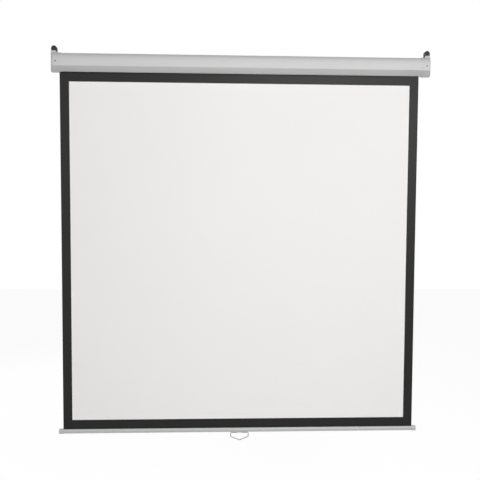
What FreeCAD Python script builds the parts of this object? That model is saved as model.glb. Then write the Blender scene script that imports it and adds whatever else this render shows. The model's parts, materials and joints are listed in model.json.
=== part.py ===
import FreeCAD, Part
import Sketcher
import math
import os
import re
from FreeCAD import Placement, Rotation, Vector

# Pull-down wall screen: a spring roller in a sheet-metal case, a square picture area with a dark
# border, a slim bottom bar and a wire pull handle. X runs along the case, the picture faces -Y,
# the wall is the plane y = 0 and the origin lies midway between the two hanger holes.

# Driving sizes in millimetres, degrees or counts
SIZES = [
    ("view_side", 1524, "side of the square picture area"),
    ("side_border", 41, "dark border at each side"),
    ("top_border", 41.4, "dark band between the case and the picture"),
    ("bottom_border", 42.3, "dark band between the picture and the bar"),
    ("fabric_thickness", 0.45, "screen fabric"),
    ("fabric_standoff", 22, "fabric plane from the wall"),
    ("top_room", 10.9, "full roll below the case top"),
    ("front_room", 3.4, "full roll behind the case front"),
    ("base_room", 17, "full roll above the case base"),
    ("case_round", 35, "radius of the upper front"),
    ("slope_rise", 18.2, "height of the lower front"),
    ("slope_angle", 24, "fall of the lower front from level"),
    ("case_wall", 1, "sheet of the case"),
    ("wall_gap", 2.2, "case back from the wall, and end cap wall"),
    ("hang_drop", 25.5, "hanger holes above the case top"),
    ("rear_rise", 7, "case base's rise towards the wall"),
    ("slot_width", 8, "slot that the fabric leaves by"),
    ("slot_lip", 5, "upturned lips of the slot"),
    ("cap_clearance", 0.2, "end cap round the case"),
    ("collar_wall", 1.2, "end cap collar"),
    ("collar_length", 25, "end cap over the case"),
    ("flange_lap", 14, "thick part of the end cap over the case"),
    ("cap_reach", 24, "end cap past the case"),
    ("cap_end_wall", 3.5, "closed end of the end cap"),
    ("cap_taper", 15, "end cap shorter at its front"),
    ("cap_edge", 8, "rounding of the end cap's outer edge"),
    ("lobe_round", 10, "rounding under the end cap's lobe"),
    ("cap_skirt", 3, "drop of the end cap's lower lobe"),
    ("hanger_width", 24, "wall hanger"),
    ("hanger_depth", 20, "wall hanger from the wall"),
    ("hanger_bore", 6.5, "wall screw hole"),
    ("hanger_flare", 7, "spread of the hanger's inner foot"),
    ("flare_height", 11, "height of that spread"),
    ("tenon_width", 14, "hanger tenon along the case"),
    ("tenon_depth", 12, "hanger tenon from front to back"),
    ("tenon_length", 12, "hanger tenon below the end cap's top"),
    ("ear_rise", 11.5, "grey ear in front of the hanger"),
    ("ear_thickness", 8, "that ear from front to back"),
    ("ear_corner", 2.5, "cut corners of that ear"),
    ("fit_clearance", 0.1, "pieces that sit in one another"),
    ("running_clearance", 0.05, "turning fits"),
    ("end_play", 0.3, "side clearance of turning pieces"),
    ("plate_thickness", 2, "bearing plates"),
    ("tab_length", 16, "plate tabs under the end cap"),
    ("tab_width", 12, "plate tabs"),
    ("tab_margin", 0.5, "front tabs below the round of the case"),
    ("cap_screw_shank", 4, "end cap screw"),
    ("cap_screw_length", 7, "end cap screw"),
    ("cap_screw_head", 7, "its countersunk head"),
    ("cap_screw_inset", 6, "end cap screw from the case's end"),
    ("hanger_screw_shank", 5, "hanger screw"),
    ("hanger_screw_length", 12, "hanger screw"),
    ("hanger_screw_head", 9, "its pan head"),
    ("head_height", 2.4, "screw heads"),
    ("tube_outside", 40, "roller tube"),
    ("tube_wall", 1.2, "roller tube"),
    ("tube_margin", 5, "roller tube past the fabric at each edge"),
    ("wrap_gap", 0.5, "between the wound layers"),
    ("wrap_turns", 1.5, "fabric that stays on the roller"),
    ("plug_length", 25, "roller plugs"),
    ("plug_flange", 2.5, "roller plug flanges"),
    ("pin_diameter", 8, "idle pin"),
    ("pin_stand", 8, "idle pin past its plate"),
    ("bush_wall", 3, "bearing bushes"),
    ("bush_flange", 2.4, "idle bush flange"),
    ("hub_diameter", 16, "idle plug hub"),
    ("hub_length", 1.8, "idle plug hub"),
    ("plate_room", 12.4, "pawl pins from the spring-end plate"),
    ("shaft_diameter", 9, "spring shaft"),
    ("shaft_length", 466, "spring shaft"),
    ("spear_width", 6, "flat end of the spring shaft"),
    ("spear_stand", 12, "flat end past its plate"),
    ("cotter_diameter", 2.5, "cotter through the flat end"),
    ("cotter_length", 18, "that cotter"),
    ("ratchet_diameter", 20, "ratchet wheel"),
    ("ratchet_thickness", 4, "ratchet wheel and pawls"),
    ("notch_floor", 14.6, "diameter under the ratchet notches"),
    ("notch_count", 4, "ratchet notches"),
    ("notch_wall", 105, "stop face of the first notch round the wheel"),
    ("notch_land", 10, "flat floor of a notch, as an angle"),
    ("notch_ramp", 27, "ramp of a notch, as an angle"),
    ("notch_clear", 0.8, "cut of the notches past the rim"),
    ("pawl_circle", 32, "circle of the pawl pins"),
    ("pawl_length", 10.1, "pawl from pin to nose"),
    ("pawl_boss", 6, "pawl round its pin"),
    ("pawl_root", 4.8, "pawl width at its pin"),
    ("pawl_nose", 2, "pawl width at its nose"),
    ("pawl_pin", 3, "pawl pins"),
    ("pawl_angle", 65, "pin of the upper pawl round the roller"),
    ("pawl_lift", 1.6, "nose of the lifted pawl above the ratchet's rim"),
    ("anchor_length", 20, "spring anchors"),
    ("anchor_diameter", 30, "fixed spring anchor"),
    ("anchor_setback", 8, "fixed anchor from the roller plug"),
    ("spring_diameter", 24, "winding spring, mean"),
    ("spring_wire", 2.4, "winding spring wire"),
    ("spring_turns", 24, "winding spring turns drawn"),
    ("spring_tang", 5, "winding spring end bends"),
    ("spring_flats", 6, "sides that stand for the round of its wire"),
    ("bar_height", 18.8, "bottom bar"),
    ("bar_depth", 16, "bottom bar at its ridge"),
    ("bar_top_depth", 10, "bottom bar at its top"),
    ("bar_base_depth", 12, "bottom bar at its base"),
    ("bar_ridge", 8.5, "ridge below the bar's top"),
    ("bar_land", 1.5, "height of the ridge"),
    ("bar_floor", 1.5, "base wall of the bar"),
    ("bar_side", 1.5, "side wall of the bar's hollow"),
    ("bar_edge", 1, "edge rounding of the bar"),
    ("keder_bore", 5, "keder channel in the bar"),
    ("keder_drop", 4.6, "keder channel below the bar's top"),
    ("keder_mouth", 1.5, "mouth of the keder channel"),
    ("keder_diameter", 4.4, "keder rod"),
    ("keder_slit", 0.7, "slit of the keder rod"),
    ("bar_cap_length", 19, "bar end cap past the bar"),
    ("bar_cap_proud", 1, "bar end cap over the bar's section"),
    ("bar_spigot", 16, "bar end cap inside the bar"),
    ("bar_cap_round", 2.5, "edge rounding of the bar end cap"),
    ("wire_diameter", 4, "pull handle wire"),
    ("handle_width", 80.8, "pull handle, between wire centres"),
    ("handle_side", 20, "straight sides of the pull handle"),
    ("handle_drop", 36.5, "pull handle from its axis to its point"),
    ("handle_bend", 4.5, "bend radius of the wire"),
    ("handle_advance", 2.2, "handle axis in front of the fabric"),
    ("clip_clearance", 0.15, "handle wire in its clips"),
    ("clip_gap", 0.4, "handle wire below the bar"),
    ("clip_wall", 1, "handle clips"),
    ("clip_length", 24, "handle clips"),
    ("clip_margin", 0.5, "handle clips from the wire's bends"),
    ("clip_foot", 7, "foot of a handle clip from the wire"),
    ("rivet_shank", 2.4, "clip rivets"),
    ("rivet_head", 3.6, "clip rivet heads"),
    ("rivet_head_height", 1, "clip rivet heads"),
    ("rivet_reach", 3.5, "clip rivets above their heads"),
    ("rivet_pitch", 14, "rivets of one clip"),
]

document = FreeCAD.newDocument("projection_screen")
sheet = document.addObject("Spreadsheet::Sheet", "sizes")
for row, (alias, amount, note) in enumerate(SIZES, start=1):
    sheet.set(f"A{row}", note)
    sheet.set(f"B{row}", str(amount))
    sheet.setAlias(f"B{row}", alias)
document.recompute()
ALIASES = {alias for alias, amount, note in SIZES}
NODES = {}
NEAR = 0.01
SAMPLES = 12


# Expressions and sketches
def bound(expression):
    """The expression with every size looked up in the sheet."""
    return re.sub(r"[a-z_]+", lambda word: f"sizes.{word[0]}" if word[0] in ALIASES else word[0],
                  str(expression))


def value(expression):
    return float(sheet.evalExpression(bound(expression)))


def to(across, up):
    return ("to", across, up)


def turn(centre_across, centre_up, across, up, left=True):
    """An arc to a point, round a centre; left arcs run anticlockwise."""
    return ("turn", across, up, centre_across, centre_up, left)


def pin_point(sketch, shape, end, across=None, up=None):
    """Hold a sketch point at the given distances from the sketch's origin."""
    for kind, expression in (("DistanceX", across), ("DistanceY", up)):
        if expression is None:
            continue
        index = sketch.addConstraint(Sketcher.Constraint(kind, -1, 1, shape, end, value(expression)))
        sketch.setExpression(f"Constraints[{index}]", bound(expression))


def draw_loop(sketch, corners):
    """A closed outline: the last corner is also where the first step starts."""
    count = len(corners)
    shapes = []
    for index, corner in enumerate(corners):
        before = corners[index - 1]
        start = Vector(value(before[1]), value(before[2]), 0)
        stop = Vector(value(corner[1]), value(corner[2]), 0)
        if corner[0] == "to":
            shapes.append(sketch.addGeometry(Part.LineSegment(start, stop)))
            continue
        centre = Vector(value(corner[3]), value(corner[4]), 0)
        circle = Part.Circle(centre, Vector(0, 0, 1), (start - centre).Length)
        first, last = (start, stop) if corner[5] else (stop, start)
        arc = Part.ArcOfCircle(circle, circle.parameter(first), circle.parameter(last))
        shapes.append(sketch.addGeometry(arc))
    for index, corner in enumerate(corners):
        following = (index + 1) % count
        stop_end = 1 if corner[0] == "turn" and not corner[5] else 2
        start_end = 2 if corners[following][0] == "turn" and not corners[following][5] else 1
        sketch.addConstraint(
            Sketcher.Constraint("Coincident", shapes[index], stop_end, shapes[following], start_end))
        if corner[0] == "to":
            pin_point(sketch, shapes[index], stop_end, corner[1], corner[2])
            continue
        pin_point(sketch, shapes[index], 3, corner[3], corner[4])
        sideways = abs(value(corner[1]) - value(corner[3]))
        upward = abs(value(corner[2]) - value(corner[4]))
        if sideways > upward:
            pin_point(sketch, shapes[index], stop_end, up=corner[2])
        else:
            pin_point(sketch, shapes[index], stop_end, across=corner[1])


def draw_circle(sketch, across, up, diameter):
    centre = Vector(value(across), value(up), 0)
    shape = sketch.addGeometry(Part.Circle(centre, Vector(0, 0, 1), value(diameter) / 2))
    pin_point(sketch, shape, 3, across, up)
    index = sketch.addConstraint(Sketcher.Constraint("Diameter", shape, value(diameter)))
    sketch.setExpression(f"Constraints[{index}]", bound(diameter))


def rectangle(left, right, low, high):
    return [to(right, low), to(right, high), to(left, high), to(left, low)]


def new_body(label):
    body = document.addObject("PartDesign::Body", label)
    body.Label = label
    return body


def new_sketch(body, plane, offset="0"):
    sketch = body.newObject("Sketcher::SketchObject", "Outline")
    support = [item for item in body.Origin.OriginFeatures if item.Role == plane][0]
    sketch.AttachmentSupport = [(support, "")]
    sketch.MapMode = "FlatFace"
    sketch.setExpression("AttachmentOffset.Base.z", bound(offset))
    return sketch


def extrude(body, plane, start, length, loops=(), circles=(), cut=False):
    """Pad or cut outlines from start, along the plane's own direction."""
    sketch = new_sketch(body, plane, start)
    for loop in loops:
        draw_loop(sketch, loop)
    for across, up, diameter in circles:
        draw_circle(sketch, across, up, diameter)
    feature = body.newObject("PartDesign::Pocket" if cut else "PartDesign::Pad", "Extrusion")
    feature.Profile = sketch
    feature.Reversed = cut
    feature.setExpression("Length", bound(length))
    document.recompute()
    return feature


def turned(label, outline):
    """A body turned about its own X axis from half its section, as (along, radius) corners."""
    body = new_body(label)
    sketch = new_sketch(body, "XY_Plane")
    draw_loop(sketch, [to(along, radius) for along, radius in outline])
    revolution = body.newObject("PartDesign::Revolution", "Turning")
    revolution.Profile = sketch
    revolution.ReferenceAxis = (sketch, ["H_Axis"])
    revolution.Angle = 360
    document.recompute()
    return body


def stepped(label, steps, bore="0"):
    """A turned body of (start, stop, diameter) steps in order along X, with one bore."""
    outline = [(steps[0][0], f"({bore})/2")]
    for start, stop, diameter in steps:
        outline.append((start, f"({diameter})/2"))
        outline.append((stop, f"({diameter})/2"))
    outline.append((steps[-1][1], f"({bore})/2"))
    return turned(label, outline)


def place(item, along, across, up, rotation=None):
    if rotation is not None:
        item.Placement = Placement(Vector(0, 0, 0), rotation)
    for axis, expression in (("x", along), ("y", across), ("z", up)):
        item.setExpression(f"Placement.Base.{axis}", bound(expression))
    return item


def round_edges(body, radius, chosen):
    """Round those edges of the body's last feature that the test picks."""
    document.recompute()
    base = body.Tip
    names = [f"Edge{number}" for number, edge in enumerate(base.Shape.Edges, start=1) if chosen(edge)]
    fillet = body.newObject("PartDesign::Fillet", "Rounding")
    fillet.Base = (base, names)
    fillet.setExpression("Radius", bound(radius))
    document.recompute()


def node(item):
    NODES[item.Label] = item
    return item


def mirrored(source, label, plane_along="0"):
    mirror = document.addObject("Part::Mirroring", label)
    mirror.Label = label
    mirror.Source = source
    mirror.Normal = Vector(1, 0, 0)
    mirror.setExpression("Base.x", bound(plane_along))
    return node(mirror)


def group(label, items):
    compound = document.addObject("Part::Compound", label)
    compound.Label = label
    compound.Links = items
    return node(compound)


def shaped(label, shape, placement):
    feature = document.addObject("Part::Feature", label)
    feature.Label = label
    feature.Shape = shape
    feature.Placement = placement
    return node(feature)


# Places worked out from the driving sizes
idle_room = "(tube_margin + plug_flange + hub_length + end_play + bush_flange)"
pawl_room = "(ratchet_thickness + 2*end_play + pawl_pin/2)"
spring_room = f"(tube_margin + plug_flange + {pawl_room} + plate_room)"
fabric_half = "(view_side/2 + side_border)"
fabric_x = f"(({idle_room} - {spring_room})/2)"
case_end = f"({fabric_half} + ({idle_room} + {spring_room})/2)"
case_top = "(-hang_drop)"
case_back = "(-wall_gap)"
fabric_y = "(-fabric_standoff)"
fabric_drop = "(top_border + view_side + bottom_border)"
full_roll = f"sqrt((tube_outside/2)^2 + {fabric_drop}*fabric_thickness/pi)"
tube_bore = "(tube_outside - 2*tube_wall)"
wrap_pitch = "(fabric_thickness + wrap_gap)"
wrap_outer = f"(tube_outside/2 + end_play + fabric_thickness/2 + {wrap_pitch}*wrap_turns)"
roller_y = f"({fabric_y} - {wrap_outer} - fabric_thickness - end_play)"
roller_z = f"({case_top} - top_room - {full_roll})"
case_front = f"({roller_y} - {full_roll} - front_room)"
case_base = f"({roller_z} - {full_roll} - base_room)"
bar_top = f"({case_base} - {fabric_drop})"
bar_base = f"({bar_top} - bar_height)"
tube_left = f"({fabric_x} - {fabric_half} - tube_margin)"
tube_right = f"({fabric_x} + {fabric_half} + tube_margin)"
cap_end = f"({case_end} + cap_reach)"
flange_top = f"({case_top} + wall_gap)"
hanger_x = f"({cap_end} - hanger_width/2)"
hanger_left = f"({cap_end} - hanger_width)"
cap_screw_x = f"({case_end} - cap_screw_inset)"
ear_front = "(hanger_depth + fit_clearance + ear_thickness)"
hanger_y = "(-hanger_depth/2)"
slot_front = f"({fabric_y} - slot_width/2)"
slot_back = f"({fabric_y} + slot_width/2)"
tenon_base = f"({flange_top} - tenon_length)"
plate_face = f"({case_end} + plate_thickness)"
cap_screw_z = f"({case_top} - case_round - tab_margin - tab_width/2)"
plug_bore = f"({tube_bore} - 2*fit_clearance)"
plug_face = f"({tube_right} + plug_flange)"
pawl_start = f"({plug_face} + end_play)"
pin_start = f"({tube_right} - pawl_pin)"
pawl_angles = ("pawl_angle", "(pawl_angle + 180)")
bush_outside = "(pin_diameter + 2*running_clearance + 2*bush_wall)"
shaft_end = f"({plate_face} + spear_stand)"
shaft_start = f"({shaft_end} - shaft_length)"
fixed_anchor_right = f"({tube_right} - plug_length - anchor_setback)"
fixed_anchor_left = f"({fixed_anchor_right} - anchor_length)"
moving_anchor_left = f"({shaft_start} + end_play)"
moving_anchor_right = f"({moving_anchor_left} + anchor_length)"
wire_y = f"({fabric_y} - handle_advance)"
wire_z = f"({bar_base} - clip_gap - wire_diameter/2)"
clip_outer = "(wire_diameter/2 + clip_clearance + clip_wall)"
clip_offset = "(handle_width/2 - handle_bend - clip_margin - clip_length/2)"
rivet_y = f"({wire_y} + ({clip_outer} + clip_foot)/2)"
rivet_places = [f"({fabric_x} {side} {clip_offset} {end} rivet_pitch/2)"
                for side in "+-" for end in "+-"]


def case_outline(offset="0", skirt="0", level=False):
    """The case's section moved outwards by an offset, its base lowered by a skirt.

    The base rises towards the wall from the ear's front, or stays level.
    """
    back = f"({case_back} + ({offset}))"
    top = f"({case_top} + ({offset}))"
    front = f"({case_front} - ({offset}))"
    base = f"({case_base} - ({offset}) - {skirt})"
    arc_y = f"({case_front} + case_round)"
    arc_z = f"({case_top} - case_round)"
    crease = f"({case_base} + slope_rise - ({offset})*(1 - sin(slope_angle))/cos(slope_angle))"
    slope_end = f"({front} + ({crease} - {base})/tan(slope_angle))"
    rear = [to(back, base)] if level else [to(f"-{ear_front}", base), to(back, f"{base} + rear_rise")]
    return rear + [
        to(back, top),
        to(arc_y, top),
        turn(arc_y, arc_z, front, arc_z),
        to(front, crease),
        to(slope_end, base),
    ]


def base_at(depth):
    """Height of the case's rising base at a place between the ear's front and the case's back."""
    return f"({case_base} + rear_rise*({depth} + {ear_front})/({case_back} + {ear_front}))"


def bevel_edges(body, size, chosen):
    """Cut a 45 degree bevel on those edges of the body's last feature that the test picks."""
    document.recompute()
    base = body.Tip
    names = [f"Edge{number}" for number, edge in enumerate(base.Shape.Edges, start=1) if chosen(edge)]
    bevel = body.newObject("PartDesign::Chamfer", "Bevel")
    bevel.Base = (base, names)
    bevel.setExpression("Size", bound(size))
    document.recompute()


# Case
def make_case_shell():
    body = new_body("case_shell")
    start = f"-{case_end}"
    length = f"2*{case_end}"
    extrude(body, "YZ_Plane", start, length, loops=[case_outline(), case_outline("-case_wall")])
    slot_top = f"({case_base} + case_wall + slot_lip)"
    extrude(body, "YZ_Plane", start, length,
            loops=[rectangle(f"{slot_front} - case_wall", slot_front, base_at(slot_front), slot_top),
                   rectangle(slot_back, f"{slot_back} + case_wall",
                             base_at(f"{slot_back} + case_wall"), slot_top)])
    extrude(body, "YZ_Plane", start, length, cut=True,
            loops=[rectangle(slot_front, slot_back, f"{case_base} - case_wall", slot_top)])
    screw_hole = "cap_screw_shank + 2*fit_clearance"
    extrude(body, "XZ_Plane", f"-{case_front} - 2*case_wall", "3*case_wall", cut=True,
            circles=[(along, cap_screw_z, screw_hole) for along in (cap_screw_x, f"-{cap_screw_x}")])
    node(body)


# Moulded end cap: collar over the case, thick flange with a lower lobe and a tapered end, ear
def taper_cut(body, inset):
    """Take the front of the cap's end off at a slant that starts in front of the ear."""
    end = f"({cap_end} - {inset})"
    front = f"({case_front} - wall_gap)"
    beyond = f"({cap_end} + cap_reach)"
    extrude(body, "XY_Plane", f"{case_base} - case_round", f"{flange_top} + 2*case_round - {case_base}",
            cut=True, loops=[[to(end, f"-{ear_front}"), to(f"{end} - cap_taper", front),
                              to(beyond, front), to(beyond, f"-{ear_front}")]])


def make_end_caps():
    outside = new_body("cap_outside")
    flange = f"({case_end} - flange_lap)"
    extrude(outside, "YZ_Plane", flange, "flange_lap + cap_reach",
            loops=[case_outline("wall_gap", "cap_skirt", level=True)])
    taper_cut(outside, "0")
    lobe_base = f"({case_base} - wall_gap - cap_skirt)"
    lowest = value(lobe_base) + NEAR
    outer = value(f"{cap_end} - cap_taper") - NEAR
    ear_line = value(f"-{ear_front}") + NEAR
    round_edges(outside, "lobe_round", lambda edge: edge.BoundBox.XMin > outer
                and edge.BoundBox.ZMax < lowest and edge.BoundBox.YLength > NEAR)
    round_edges(outside, "cap_edge", lambda edge: edge.BoundBox.XMin > outer
                and edge.BoundBox.XMax < outer + value("cap_taper") and edge.BoundBox.YMax < ear_line
                and edge.BoundBox.ZMax > lowest and edge.BoundBox.YMin < ear_line - NEAR)
    extrude(outside, "YZ_Plane", flange, "flange_lap + cap_reach", cut=True,
            loops=[[to(f"-{ear_front}", lobe_base), to(ear_front, f"{lobe_base} + 2*rear_rise"),
                    to(ear_front, lobe_base)]])
    mouth = f"({case_end} - collar_length)"
    extrude(outside, "YZ_Plane", mouth, "collar_length - flange_lap",
            loops=[case_outline("cap_clearance + collar_wall")])
    ear_top = f"({flange_top} + ear_rise)"
    extrude(outside, "XZ_Plane", "hanger_depth + fit_clearance", "ear_thickness", loops=[[
        to(cap_end, case_top),
        to(cap_end, f"{ear_top} - ear_corner"),
        to(f"{cap_end} - ear_corner", ear_top),
        to(f"{hanger_left} + ear_corner", ear_top),
        to(hanger_left, f"{ear_top} - ear_corner"),
        to(hanger_left, case_top),
    ]])
    extrude(outside, "YZ_Plane", mouth, "collar_length", cut=True,
            loops=[rectangle(f"{slot_front} - cap_clearance", f"{slot_back} + cap_clearance",
                             f"{case_base} - wall_gap - 2*cap_skirt", f"{case_base} + wall_gap")])
    extrude(outside, "XY_Plane", f"{case_top} - wall_gap", "3*wall_gap", cut=True,
            loops=[tenon_section("fit_clearance")])
    extrude(outside, "XZ_Plane", f"-{case_front}", "2*wall_gap", cut=True,
            circles=[(cap_screw_x, cap_screw_z, "cap_screw_shank + 2*fit_clearance")])
    face = value(f"{case_front} - wall_gap") + NEAR
    bevel_edges(outside, "(cap_screw_head - cap_screw_shank)/2",
                lambda edge: edge.BoundBox.YMax < face and edge.isClosed())
    hollow = new_body("cap_hollow")
    extrude(hollow, "YZ_Plane", f"{mouth} - cap_clearance",
            f"{cap_end} - cap_end_wall - {mouth} + cap_clearance", loops=[case_outline("cap_clearance")])
    taper_cut(hollow, "cap_end_wall")
    cap = document.addObject("Part::Cut", "right_end_cap")
    cap.Label = "right_end_cap"
    cap.Base = outside
    cap.Tool = hollow
    node(cap)
    mirrored(cap, "left_end_cap")


def tenon_section(clearance):
    half_width = f"(tenon_width/2 + {clearance})"
    half_depth = f"(tenon_depth/2 + {clearance})"
    return rectangle(f"{hanger_x} - {half_width}", f"{hanger_x} + {half_width}",
                     f"{hanger_y} - {half_depth}", f"{hanger_y} + {half_depth}")


# Wall hanger: round head with the wall screw hole, flared inner foot, tenon through the end cap
def make_hangers():
    body = new_body("right_hanger")
    extrude(body, "XZ_Plane", "0", "hanger_depth", loops=[[
        to(cap_end, flange_top),
        to(cap_end, "0"),
        turn(hanger_x, "0", hanger_left, "0"),
        to(hanger_left, f"{flange_top} + flare_height"),
        to(f"{hanger_left} - hanger_flare", flange_top),
    ]])
    extrude(body, "XY_Plane", tenon_base, "tenon_length", loops=[tenon_section("0")])
    extrude(body, "XZ_Plane", "-hanger_depth/2", "2*hanger_depth", cut=True,
            circles=[(hanger_x, "0", "hanger_bore")])
    extrude(body, "XY_Plane", f"{tenon_base} - plate_thickness", "hanger_screw_length + end_play",
            cut=True, circles=[(hanger_x, hanger_y, "hanger_screw_shank + 2*running_clearance")])
    node(body)
    mirrored(body, "left_hanger")


def make_bearing_plate(label, bearing_loops, bearing_circles):
    """Plate against the case's end, tabs into the case and tabs under the end cap."""
    body = new_body(label)
    extrude(body, "YZ_Plane", case_end, "plate_thickness", loops=[case_outline()])
    hanger_tab = rectangle(f"{hanger_y} - tab_width/2", case_back,
                           f"{tenon_base} - plate_thickness", tenon_base)
    extrude(body, "YZ_Plane", case_end, "plate_thickness + tab_length", loops=[hanger_tab])
    front_inside = f"({case_front} + case_wall)"
    back_inside = f"({case_back} - case_wall)"
    tab_low = f"({cap_screw_z} - tab_width/2)"
    tab_high = f"({cap_screw_z} + tab_width/2)"
    extrude(body, "YZ_Plane", f"{case_end} - tab_length", "tab_length + plate_thickness", loops=[
        rectangle(front_inside, f"{front_inside} + plate_thickness", tab_low, tab_high),
        rectangle(f"{back_inside} - plate_thickness", back_inside, tab_low, tab_high)])
    extrude(body, "YZ_Plane", case_end, "plate_thickness", cut=True,
            loops=bearing_loops, circles=bearing_circles)
    extrude(body, "XY_Plane", f"{tenon_base} - 2*plate_thickness", "3*plate_thickness", cut=True,
            circles=[(hanger_x, hanger_y, "hanger_screw_shank + 2*fit_clearance")])
    extrude(body, "XZ_Plane", f"-{case_front} - 2*plate_thickness", "2*plate_thickness", cut=True,
            circles=[(cap_screw_x, cap_screw_z, "cap_screw_shank + 2*running_clearance")])
    return body


def make_bearing_plates():
    spear_slot = rectangle(f"{roller_y} - spear_width/2 - fit_clearance",
                           f"{roller_y} + spear_width/2 + fit_clearance",
                           f"{roller_z} - shaft_diameter/2 - fit_clearance",
                           f"{roller_z} + shaft_diameter/2 + fit_clearance")
    node(make_bearing_plate("right_bearing_plate", [spear_slot], []))
    bush_hole = (roller_y, roller_z, f"{bush_outside} + 2*fit_clearance")
    mirrored(make_bearing_plate("idle_plate_source", [], [bush_hole]), "left_bearing_plate")


def make_case_screws():
    face = f"({case_front} - wall_gap)"
    cap_screws = []
    hanger_screws = []
    for side in ("", "-"):
        screw = turned("cap_screw", [
            ("0", "0"), ("0", "cap_screw_head/2"),
            ("(cap_screw_head - cap_screw_shank)/2", "cap_screw_shank/2"),
            ("cap_screw_length", "cap_screw_shank/2"), ("cap_screw_length", "0")])
        cap_screws.append(place(screw, f"{side}{cap_screw_x}", face, cap_screw_z,
                                Rotation(Vector(0, 0, 1), 90)))
        screw = stepped("hanger_screw", [("-head_height", "0", "hanger_screw_head"),
                                         ("0", "hanger_screw_length", "hanger_screw_shank")])
        upright = Rotation(Vector(0, 1, 0), -90)
        plate_base = f"{tenon_base} - plate_thickness"
        hanger_screws.append(place(screw, f"{side}{hanger_x}", hanger_y, plate_base, upright))
    group("end_cap_screws", cap_screws)
    group("hanger_screws", hanger_screws)


# Roller
def on_roller(body):
    return node(place(body, "0", roller_y, roller_z))


def round_the_roller(radius, angle):
    return f"({radius}*cos({angle}))", f"({radius}*sin({angle}))"


def make_roller():
    on_roller(stepped("roller_tube", [(tube_left, tube_right, "tube_outside")], tube_bore))
    hub_face = f"(-{case_end} + bush_flange + end_play)"
    flange_face = f"({tube_left} - plug_flange)"
    pin_bore = "pin_diameter + 2*running_clearance"
    on_roller(stepped("idle_plug", [(hub_face, flange_face, "hub_diameter"),
                                    (flange_face, tube_left, "tube_outside"),
                                    (tube_left, f"{tube_left} + plug_length", plug_bore)], pin_bore))
    on_roller(stepped("idle_pin", [(f"-{plate_face} - pin_stand", f"{tube_left} + plug_length",
                                    "pin_diameter")]))
    on_roller(stepped("idle_bush", [(f"-{plate_face}", f"-{case_end}", bush_outside),
                                    (f"-{case_end}", f"-{case_end} + bush_flange",
                                     f"{bush_outside} + 2*bush_wall")], pin_bore))
    plug_left = f"({tube_right} - plug_length)"
    shaft_bore = "(shaft_diameter + 2*running_clearance)"
    end_bush = f"({shaft_bore} + 2*bush_wall)"
    cap = stepped("spring_end_cap", [(plug_left, tube_right, plug_bore),
                                     (tube_right, plug_face, "tube_outside")],
                  f"{end_bush} + 2*fit_clearance")
    pin_hole = "pawl_pin + 2*fit_clearance"
    extrude(cap, "YZ_Plane", pin_start, f"{plug_face} - {pin_start}", cut=True,
            circles=[(*round_the_roller("pawl_circle/2", angle), pin_hole) for angle in pawl_angles])
    on_roller(cap)
    on_roller(stepped("spring_end_bush", [(plug_left, plug_face, end_bush)], shaft_bore))
    on_roller(stepped("moving_spring_anchor", [(moving_anchor_left, moving_anchor_right, plug_bore)],
                      shaft_bore))
    on_roller(stepped("fixed_spring_anchor", [(fixed_anchor_left, fixed_anchor_right,
                                               "anchor_diameter")],
                      "shaft_diameter + 2*fit_clearance"))


def make_spring_shaft():
    body = stepped("spring_shaft", [(shaft_start, shaft_end, "shaft_diameter")])
    spear_start = f"({case_end} - end_play)"
    extrude(body, "YZ_Plane", spear_start, f"{shaft_end} - {spear_start}", cut=True, loops=[
        rectangle("spear_width/2", "shaft_diameter", "-shaft_diameter", "shaft_diameter"),
        rectangle("-shaft_diameter", "-spear_width/2", "-shaft_diameter", "shaft_diameter")])
    cotter_x = f"({plate_face} + cotter_diameter)"
    extrude(body, "XY_Plane", "-shaft_diameter", "2*shaft_diameter", cut=True,
            circles=[(cotter_x, "0", "cotter_diameter + 2*fit_clearance")])
    on_roller(body)
    cotter = stepped("cotter_pin", [("-cotter_diameter", "0", "2*cotter_diameter"),
                                    ("0", "cotter_length", "cotter_diameter")])
    cotter_top = f"({roller_z} + shaft_diameter/2 + end_play)"
    node(place(cotter, cotter_x, roller_y, cotter_top, Rotation(Vector(0, 1, 0), 90)))


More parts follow.
